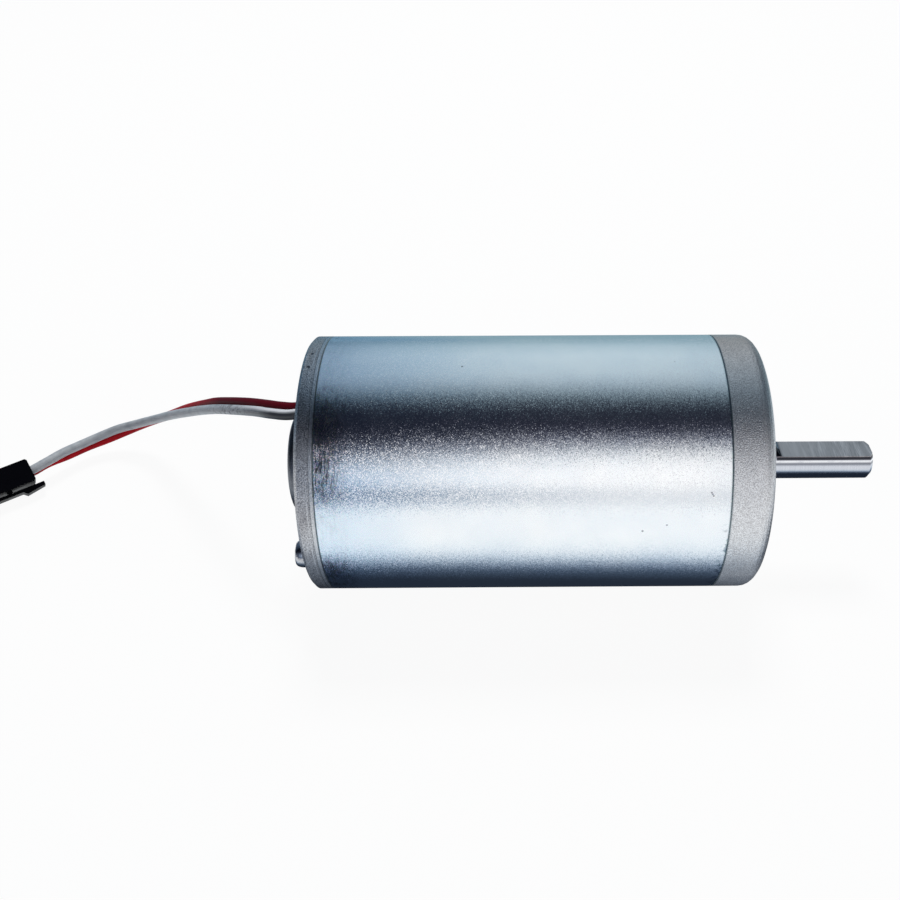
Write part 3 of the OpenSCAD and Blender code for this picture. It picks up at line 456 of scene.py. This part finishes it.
def cast_rear_cap():
    """Die-cast skin with pits and stains, turned clean next to the tube."""
    cap = Finish("die_cast_rear_cap", (0.48, 0.49, 0.52), metallic=1.0, roughness=0.45)
    skin = cap.noise(0.00024, 1)
    stain = cap.noise(0.006, 3)
    colour = cap.mix(cap.fade(skin, 0.35, 0.65), CAST_DARK, CAST_LIGHT)
    colour = cap.mix(cap.fade(stain, 0.45, 0.7, 0.0, 0.5), colour, CAST_STAIN)
    # Painted highlight on the top strip of the cap
    colour = cap.mix(painted_top_light(cap), colour, REAR_TOP_HIGHLIGHT_TINT, "MULTIPLY")
    pits = cap.fade(cap.cells(0.0026), 0.08, 0.16, 1.0, 0.0)
    pits = cap.both(pits, cap.fade(cap.noise(0.008, 1), 0.48, 0.58))
    colour = cap.mix(cap.both(pits, 0.8), colour, PIT)
    # The raised boss is darker, and the ring next to the tube is turned bright
    boss = cap.fade(cap.x, BODY_REAR - 0.5 * MM, BODY_REAR - 0.1 * MM, 0.8, 0.0)
    colour = cap.mix(boss, colour, BOSS_DARK)
    ring_edge = TUBE_REAR - TURNED_WIDTH
    turned = cap.fade(cap.x, ring_edge - 0.05 * MM, ring_edge + 0.05 * MM)
    colour = cap.mix(cap.both(turned, 0.55), colour, TURNED_RING)
    line = cap.both(cap.near(cap.x, TUBE_REAR - 1.35 * MM, 0.16 * MM), cap.fade(stain, 0.4, 0.55))
    colour = cap.mix(cap.both(line, 0.6), colour, TURNED_LINE)
    seam = cap.either(cap.near(cap.x, TUBE_REAR, 0.2 * MM), cap.near(cap.x, ring_edge, 0.1 * MM))
    cap.set("Base Color", cap.mix(cap.both(seam, 0.7), colour, REAR_SEAM))
    rough = cap.fade(turned, 0.0, 1.0, 0.34, 0.28)
    cap.set("Roughness", cap.math("ADD", rough, below(cap, 0.2)))
    grain = cap.dent(skin, 0.07 * MM)
    cap.dent(pits, -0.12 * MM, grain)
    cap.wear("rear_end_cap")


def ground_shaft():
    """Ground steel, with cutter marks across the milled flat."""
    shaft = Finish("ground_shaft", (0.68, 0.69, 0.71), metallic=1.0, roughness=0.2)
    grinding = shaft.noise(1.0, 3, shaft.stretch(5200, 160, 160), 0.7)
    at_height = shaft.both(
        shaft.fade(shaft.z, FLAT_HEIGHT - 0.12 * MM, FLAT_HEIGHT - 0.04 * MM),
        shaft.fade(shaft.z, FLAT_HEIGHT + 0.04 * MM, FLAT_HEIGHT + 0.1 * MM, 1.0, 0.0),
    )
    on_flat = shaft.both(at_height, shaft.fade(shaft.x, FLAT_START - 0.2 * MM, FLAT_START))
    cutter = shaft.noise(1.0, 2, shaft.stretch(900, 110, 1, CUTTER_TURN), 0.6)
    fine_cutter = shaft.noise(1.0, 3, shaft.stretch(3800, 260, 1, CUTTER_TURN), 0.7)
    round_colour = shaft.mix(shaft.fade(grinding, 0.35, 0.65), GROUND_DARK, GROUND_LIGHT)
    # The cutter's marks are faint near the motor and clear near the tip
    clear = shaft.fade(shaft.x, 11 * MM, 17 * MM, 0.35, 1.0)
    light_mark = shaft.both(shaft.fade(cutter, 0.45, 0.65), clear)
    flat_colour = shaft.mix(light_mark, FLAT_DARK, FLAT_LIGHT)
    dark_mark = shaft.both(shaft.fade(fine_cutter, 0.5, 0.68, 0.0, 0.6), clear)
    flat_colour = shaft.mix(dark_mark, flat_colour, CUTTER_MARK)
    # Dark line along the flat's front edge, with a painted highlight line and a painted darker band below
    # it, on the front side only
    waver = shaft.noise(0.0012, 1)
    front_side = shaft.fade(shaft.y, -0.1 * MM, 0.0, 1.0, 0.0)
    dark_band = shaft.both(shaft.near(shaft.z, 1.76 * MM, 0.42 * MM), front_side)
    round_colour = shaft.mix(shaft.both(dark_band, 0.85), round_colour, PAINTED_DARK_BAND)
    highlight_line = shaft.both(shaft.near(shaft.z, 2.2 * MM, 0.26 * MM), shaft.fade(waver, 0.3, 0.5, 0.5, 1.0))
    round_colour = shaft.mix(shaft.both(highlight_line, front_side), round_colour, PAINTED_HIGHLIGHT_LINE)
    edge_dark = shaft.both(shaft.fade(shaft.z, 2.38 * MM, 2.5 * MM), front_side)
    edge_dark = shaft.both(edge_dark, shaft.fade(shaft.x, FLAT_START - 0.1 * MM, FLAT_START))
    round_colour = shaft.mix(shaft.both(edge_dark, 0.96), round_colour, FLAT_EDGE_DARK)
    shaft.set("Base Color", shaft.mix(on_flat, round_colour, flat_colour))
    shaft.set("Roughness", shaft.fade(on_flat, 0.0, 1.0, 0.2, 0.36))
    base = shaft.dent(grinding, 0.0015 * MM)
    grooves = shaft.both(shaft.math("ADD", cutter, fine_cutter), on_flat)
    shaft.dent(shaft.both(grooves, clear), 0.012 * MM, base)
    shaft.wear("shaft")


def bolt_and_washer():
    """Zinc-plated bolts and dark spring washers."""
    bolt = Finish("bolt_zinc", (0.7, 0.71, 0.74), metallic=1.0, roughness=0.2)
    skin = bolt.noise(0.0006, 3)
    bolt.set("Base Color", bolt.mix(bolt.fade(skin, 0.35, 0.7), (0.66, 0.66, 0.68), (0.34, 0.34, 0.37)))
    bolt.set("Roughness", bolt.fade(skin, 0.3, 0.7, 0.16, 0.3))
    bolt.dent(skin, 0.02 * MM)
    bolt.wear("through_bolts", "plate_screws")
    washer = Finish("washer_blued", (0.05, 0.07, 0.13), metallic=1.0, roughness=0.35)
    heat = washer.noise(0.0015, 2)
    washer.set("Base Color", washer.mix(heat, (0.03, 0.04, 0.09), (0.09, 0.12, 0.2)))
    washer.dent(washer.noise(0.0003, 2), 0.01 * MM)
    washer.wear("bolt_lock_washers")


def lead_covers():
    """Soft vinyl covers: the red one with painted shade at the motor, the white one grimy, with painted
    shade on its lower side and a painted highlight along its top.
    """
    red = Finish("lead_red_vinyl", (0.5, 0.006, 0.014), metallic=0.0, roughness=0.5)
    # Painted shade on the red lead where it nears the motor
    painted_near_motor = red.fade(red.x, -128 * MM, -116 * MM)
    cloud = red.noise(0.0025, 3)
    colour = red.mix(red.fade(cloud, 0.35, 0.7), RED, RED_DEEP)
    red.set("Base Color", red.mix(painted_near_motor, colour, RED_SHADED_AT_MOTOR))
    red.set("Specular IOR Level", 0.1)
    red.dent(red.noise(0.0008, 2), 0.02 * MM)
    white = Finish("lead_white_vinyl", (0.72, 0.72, 0.71), metallic=0.0, roughness=0.38)
    cloud = white.noise(0.002, 3)
    colour = white.mix(white.fade(cloud, 0.35, 0.7), WHITE, WHITE_GREY)
    streak = white.noise(1.0, 3, white.stretch(420, 1500, 1500), 0.7)
    grime = white.both(white.near(white.x, -112 * MM, 9 * MM), white.fade(streak, 0.45, 0.58))
    colour = white.mix(white.both(grime, 0.85), colour, GRIME)
    # Painted shade on the side that faces down, a little all along and most at the motor, and a painted
    # highlight along the top at the motor
    leaning = white.add("ShaderNodeVectorMath", white.facing(), (0.0, 0.64, 0.77), operation="DOT_PRODUCT")
    upward = leaning.outputs["Value"]
    painted_near_motor = white.fade(white.x, -111 * MM, -100 * MM)
    lower_shade = white.both(white.fade(upward, 0.1, 0.5, 1.0, 0.0), white.fade(painted_near_motor, 0.0, 1.0, 0.15, 0.95))
    colour = white.mix(white.both(white.fade(upward, 0.4, 0.7), painted_near_motor), colour, WHITE_TOP_HIGHLIGHT)
    white.set("Base Color", white.mix(lower_shade, colour, LOWER_SIDE_SHADE))
    white.dent(white.noise(0.0008, 2), 0.02 * MM)
    return red, white


def plug_plastic():
    """Black moulded nylon with a fine spark-eroded skin."""
    plug = Finish("plug_black_nylon", (0.002, 0.002, 0.003), metallic=0.0, roughness=0.5)
    skin = plug.noise(0.00035, 2)
    plug.set("Base Color", plug.mix(skin, (0.001, 0.001, 0.002), (0.003, 0.003, 0.005)))
    plug.set("Specular IOR Level", 0.05)
    plug.set("Roughness", plug.fade(plug.noise(0.003, 2), 0.3, 0.7, 0.36, 0.5))
    plug.dent(skin, 0.02 * MM)
    plug.wear("connector_housing", "connector_latch")


# Finishes of the pieces inside the motor

def rubber_grommet():
    rubber = Finish("grommet_black_rubber", (0.018, 0.018, 0.019), metallic=0.0, roughness=0.62)
    bloom = rubber.noise(0.0012, 3)
    rubber.set("Base Color", rubber.mix(bloom, (0.013, 0.013, 0.014), (0.032, 0.032, 0.033)))
    rubber.dent(rubber.noise(0.0004, 2), 0.02 * MM)
    rubber.wear("lead_grommet")


def bearing_steels():
    """Polished races and balls, pressed shields and a brass-coloured cage."""
    race = Finish("bearing_polished", (0.70, 0.71, 0.73), metallic=1.0, roughness=0.15)
    turned = race.noise(1.0, 2, race.stretch(6000, 250, 250))
    race.set("Base Color", race.mix(turned, (0.64, 0.65, 0.68), (0.78, 0.79, 0.80)))
    race.set("Roughness", race.fade(race.noise(0.002, 2), 0.3, 0.7, 0.1, 0.2))
    race.dent(turned, 0.002 * MM)
    for end in ("front", "rear"):
        race.wear(*[f"{end}_bearing_{piece}" for piece in ("outer_ring", "inner_ring", "balls", "shields")])
    cage = Finish("bearing_cage_brass", (0.60, 0.42, 0.16), metallic=1.0, roughness=0.32)
    stain = cage.noise(0.0014, 3)
    cage.set("Base Color", cage.mix(stain, (0.66, 0.47, 0.2), (0.44, 0.29, 0.1)))
    cage.dent(stain, 0.01 * MM)
    cage.wear("front_bearing_cage", "rear_bearing_cage")
    spring = Finish("spring_steel_bright", (0.5, 0.5, 0.52), metallic=1.0, roughness=0.28)
    drawn = spring.noise(0.0007, 3)
    spring.set("Base Color", spring.mix(drawn, (0.56, 0.56, 0.58), (0.34, 0.34, 0.37)))
    spring.dent(drawn, 0.006 * MM)
    spring.wear("bearing_wave_washer", "magnet_clips", "upper_brush_spring", "lower_brush_spring")


def laminated_core():
    """Stacked sheet steel: a dark line between each two sheets."""
    core = Finish("laminated_core_steel", (0.36, 0.36, 0.38), metallic=1.0, roughness=0.42)
    sheets = core.lines(SHEET_PITCH, core.point)
    stain = core.noise(0.004, 3)
    colour = core.mix(core.fade(stain, 0.3, 0.7), (0.40, 0.40, 0.42), (0.26, 0.25, 0.26))
    gap = core.fade(sheets, 0.0, 0.22, 1.0, 0.0)
    core.set("Base Color", core.mix(core.both(gap, 0.8), colour, (0.05, 0.05, 0.055)))
    core.dent(core.fade(sheets, 0.0, 0.3), 0.05 * MM)
    core.wear("armature_core")


def coppers():
    """Lacquered winding wire, the turned commutator and the bare pigtails."""
    wire = Finish("winding_enamel_copper", (0.62, 0.22, 0.07), metallic=1.0, roughness=0.28)
    strands = wire.noise(1.0, 3, wire.stretch(260, 1900, 1900), 0.6)
    wire.set("Base Color", wire.mix(wire.fade(strands, 0.35, 0.65), (0.34, 0.10, 0.03), (0.72, 0.28, 0.10)))
    wire.set("Coat Weight", 0.6)
    wire.set("Coat Roughness", 0.15)
    wire.dent(strands, 0.15 * MM)
    wire.wear("armature_winding")
    bar = Finish("commutator_copper", (0.72, 0.36, 0.2), metallic=1.0, roughness=0.25)
    track = bar.noise(1.0, 2, bar.stretch(4200, 120, 120), 0.6)
    worn = bar.both(bar.near(bar.x, BRUSH_TRACK, 3.4 * MM), bar.fade(track, 0.3, 0.7, 0.4, 1.0))
    bar.set("Base Color", bar.mix(worn, (0.74, 0.38, 0.22), (0.30, 0.15, 0.10)))
    bar.dent(track, 0.006 * MM)
    bar.wear("commutator_segments")
    braid = Finish("pigtail_bare_copper", (0.72, 0.34, 0.18), metallic=1.0, roughness=0.36)
    twist = braid.lines(TWIST_PITCH, braid.stretch(1, 1, 1, (0.4, 0.6, 0.5)), 0.6)
    braid.set("Base Color", braid.mix(twist, (0.34, 0.14, 0.07), (0.78, 0.40, 0.22)))
    braid.dent(twist, 0.08 * MM)
    braid.wear("upper_pigtail", "lower_pigtail")
    brass = Finish("terminal_brass", (0.68, 0.50, 0.2), metallic=1.0, roughness=0.3)
    rolled = brass.noise(1.0, 2, brass.stretch(300, 3200, 3200), 0.6)
    brass.set("Base Color", brass.mix(rolled, (0.74, 0.55, 0.25), (0.50, 0.34, 0.12)))
    brass.dent(rolled, 0.006 * MM)
    brass.wear("brush_holders", "brush_terminals", "connector_contacts")


def brush_gear_and_magnets():
    """Moulded phenolic, fibre insulators, carbon brushes and ferrite magnets."""
    board = Finish("brush_plate_phenolic", (0.10, 0.05, 0.025), metallic=0.0, roughness=0.48)
    fibre = board.noise(1.0, 4, board.stretch(500, 900, 2600), 0.7)
    board.set("Base Color", board.mix(fibre, (0.065, 0.032, 0.017), (0.16, 0.082, 0.042)))
    board.dent(fibre, 0.02 * MM)
    board.wear("brush_plate", "commutator_hub")
    paper = Finish("insulator_green_epoxy", (0.05, 0.22, 0.12), metallic=0.0, roughness=0.4)
    cloud = paper.noise(0.0025, 3)
    paper.set("Base Color", paper.mix(cloud, (0.04, 0.19, 0.10), (0.08, 0.28, 0.16)))
    paper.dent(cloud, 0.05 * MM)
    paper.wear("end_insulators")
    carbon = Finish("brush_carbon", (0.035, 0.035, 0.037), metallic=0.0, roughness=0.55)
    flake = carbon.noise(0.00025, 3)
    carbon.set("Base Color", carbon.mix(flake, (0.02, 0.02, 0.021), (0.075, 0.074, 0.073)))
    carbon.dent(flake, 0.02 * MM)
    carbon.wear("upper_brush", "lower_brush")
    ferrite = Finish("magnet_ferrite", (0.07, 0.07, 0.075), metallic=0.0, roughness=0.5)
    chip = ferrite.noise(0.0018, 4)
    ferrite.set("Base Color", ferrite.mix(chip, (0.045, 0.045, 0.05), (0.12, 0.118, 0.12)))
    ferrite.dent(chip, 0.04 * MM)
    ferrite.wear("magnets")


# Leads

def lay_lead(name, node, route, finish):
    """Lays one round lead along its route and takes the place of its solid."""
    line = bpy.data.curves.new(name, "CURVE")
    line.dimensions = "3D"
    line.bevel_depth = LEAD_D / 2
    line.bevel_resolution = 6
    line.resolution_u = 8
    line.use_fill_caps = True
    spline = line.splines.new("BEZIER")
    spline.bezier_points.add(len(route) - 1)
    for knot, place in zip(spline.bezier_points, route):
        knot.co = Vector(place) * MM
        knot.handle_left_type = "AUTO"
        knot.handle_right_type = "AUTO"
    lead = bpy.data.objects.new(name, line)
    bpy.context.scene.collection.objects.link(lead)
    line.materials.append(finish.material)
    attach(lead, "stator")
    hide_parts(node)


# Studio

def studio_light():
    """Soft panels in front and behind with a dark gap overhead, as the plating shows them."""
    world = bpy.data.worlds.new("studio")
    bpy.context.scene.world = world
    world.use_nodes = True
    room = Nodes(world.node_tree, "Generated")
    # Angle up from the front horizon, over the top and down to the back horizon
    angle = room.math("ARCTAN2", room.z, room.both(room.y, -1.0))
    # To the left, the front panel's top edge hangs lower and its foot is darker
    leftward = room.fade(room.x, -0.2, 0.06, math.radians(11), 0.0)
    in_front = room.fade(angle, math.radians(66), math.radians(84), 1.0, 0.0)
    lowered = room.math("ADD", room.both(leftward, in_front), angle)
    steps = [(degrees / 180, colour) for degrees, colour in PANEL_STEPS]
    panels = room.ramp(room.math("DIVIDE", lowered, math.pi), steps)
    foot = room.both(
        room.fade(angle, math.radians(2.5), math.radians(7)),
        room.fade(angle, math.radians(13), math.radians(20), 1.0, 0.0),
    )
    foot = room.both(foot, room.fade(room.x, -0.16, 0.16, 1.0, 0.0))
    # The panels end to the left of the motor, and the back one to the right of it too
    behind = room.fade(angle, math.radians(75), math.radians(95))
    further = room.both(behind, room.fade(room.x, 0.25, 0.65, 0.0, 0.3))
    across = room.math("ADD", room.both(room.x, 0.5), 0.5)
    ends = room.ramp(room.math("ADD", across, further), END_STEPS)
    light = room.mix(1.0, panels, ends, "MULTIPLY")
    light = room.mix(foot, light, FOOT_TINT, "MULTIPLY")
    # The camera itself sees a pale backdrop above the table
    to_camera = room.add("ShaderNodeLightPath").outputs["Is Camera Ray"]
    seen = room.mix(to_camera, light, BACKDROP)
    room.tree.links.new(seen, room.tree.nodes["Background"].inputs["Color"])


def soft_lamp():
    """Soft square lamp that points at the motor and isn't mirrored by it."""
    light = bpy.data.lights.new("key_lamp", "AREA")
    light.size = LAMP_SIZE
    light.energy = LAMP_POWER
    light.color = LAMP_COLOUR
    piece = bpy.data.objects.new("key_lamp", light)
    bpy.context.scene.collection.objects.link(piece)
    piece.location = LAMP_PLACE
    toward = Vector(LAMP_AIM) - Vector(LAMP_PLACE)
    piece.rotation_euler = toward.to_track_quat("-Z", "Y").to_euler()
    piece.visible_glossy = False


def pale_floor():
    """White table top that keeps the motor's shadow, with a painted shade beside the motor and a painted
    tone behind it in what the plating mirrors.
    """
    bpy.ops.mesh.primitive_plane_add(size=TABLE_SIZE, location=(0, 0, TABLE_TOP))
    floor = bpy.context.object
    floor.name = "floor"
    table = Finish("white_table", TABLE_COLOUR, metallic=0.0, roughness=0.9)
    table.tree.nodes.remove(table.shader)
    matt = table.add("ShaderNodeBsdfDiffuse", (*TABLE_COLOUR, 1))
    # Distance from the line under the shaft, for the painted shade beside the motor
    past_tip = table.math("SUBTRACT", table.x, SHAFT_TIP)
    past_rear = table.math("SUBTRACT", TUBE_REAR, table.x)
    past = table.either(table.either(past_tip, past_rear), 0.0)
    squares = table.math("ADD", table.both(past, past), table.both(table.y, table.y))
    wider = table.fade(table.x, TUBE_REAR, TUBE_FRONT, 4.2 * MM, 0.5 * MM)
    gap = table.math("SUBTRACT", table.math("SQRT", squares), wider)
    steps = [(MM * place / SHADE_REACH, colour) for place, colour in SHADE_STEPS]
    shade = table.ramp(table.fade(gap, 0.0, SHADE_REACH), steps)
    # Behind the motor the plating mirrors an even, painted tone
    behind = table.fade(table.y, 30 * MM, 120 * MM)
    back_tone = table.mix(table.fade(table.x, -125 * MM, -70 * MM), BACK_TONE_LEFT, BACK_TONE)
    mirrored = table.mix(behind, shade, back_tone)
    rays = table.add("ShaderNodeLightPath").outputs
    seen = table.both(rays["Is Camera Ray"], WHITE_SHARE)
    through = table.either(rays["Is Glossy Ray"], rays["Is Transmission Ray"])
    glow = table.add("ShaderNodeEmission", table.mix(through, PURE_WHITE, mirrored))
    blend = table.add("ShaderNodeMixShader", table.either(seen, through), matt.outputs[0], glow.outputs[0])
    table.tree.links.new(blend.outputs[0], table.tree.nodes["Material Output"].inputs[0])
    floor.data.materials.append(table.material)


def photo_camera():
    """Camera at the photograph's place, looking down on the motor's side."""
    lens = bpy.data.cameras.new("camera")
    lens.sensor_width = SENSOR_MM
    lens.lens = LENS_MM
    lens.shift_x, lens.shift_y = LENS_SHIFT
    lens.clip_start = 0.005
    lens.clip_end = 20
    camera = bpy.data.objects.new("camera", lens)
    bpy.context.scene.collection.objects.link(camera)
    over = Vector((0, -math.cos(LOOK_DOWN), math.sin(LOOK_DOWN)))
    along = Vector((1, 0, 0))
    up = Vector((0, math.sin(LOOK_DOWN), math.cos(LOOK_DOWN)))
    right = math.cos(SWING) * along + math.sin(SWING) * over
    back = math.cos(SWING) * over - math.sin(SWING) * along
    right_turned = math.cos(ROLL) * right + math.sin(ROLL) * up
    up_turned = math.cos(ROLL) * up - math.sin(ROLL) * right
    turn = Matrix((right_turned, up_turned, back)).transposed()
    camera.matrix_world = Matrix.Translation(Vector(LOOK_AT) + DISTANCE * over) @ turn.to_4x4()
    bpy.context.scene.camera = camera


# Putting the motor together

photo_camera()
red_finish, white_finish = lead_covers()
lay_lead("lead_red_cover", "lead_red", RED_ROUTE, red_finish)
lay_lead("lead_white_cover", "lead_white", WHITE_ROUTE, white_finish)
white_finish.wear("inner_leads")
plated_tube()
blasted_front_cap()
cast_rear_cap()
ground_shaft()
bolt_and_washer()
plug_plastic()
rubber_grommet()
bearing_steels()
laminated_core()
coppers()
brush_gear_and_magnets()
pale_floor()
studio_light()
soft_lamp()

bpy.context.scene.view_settings.view_transform = "Standard"
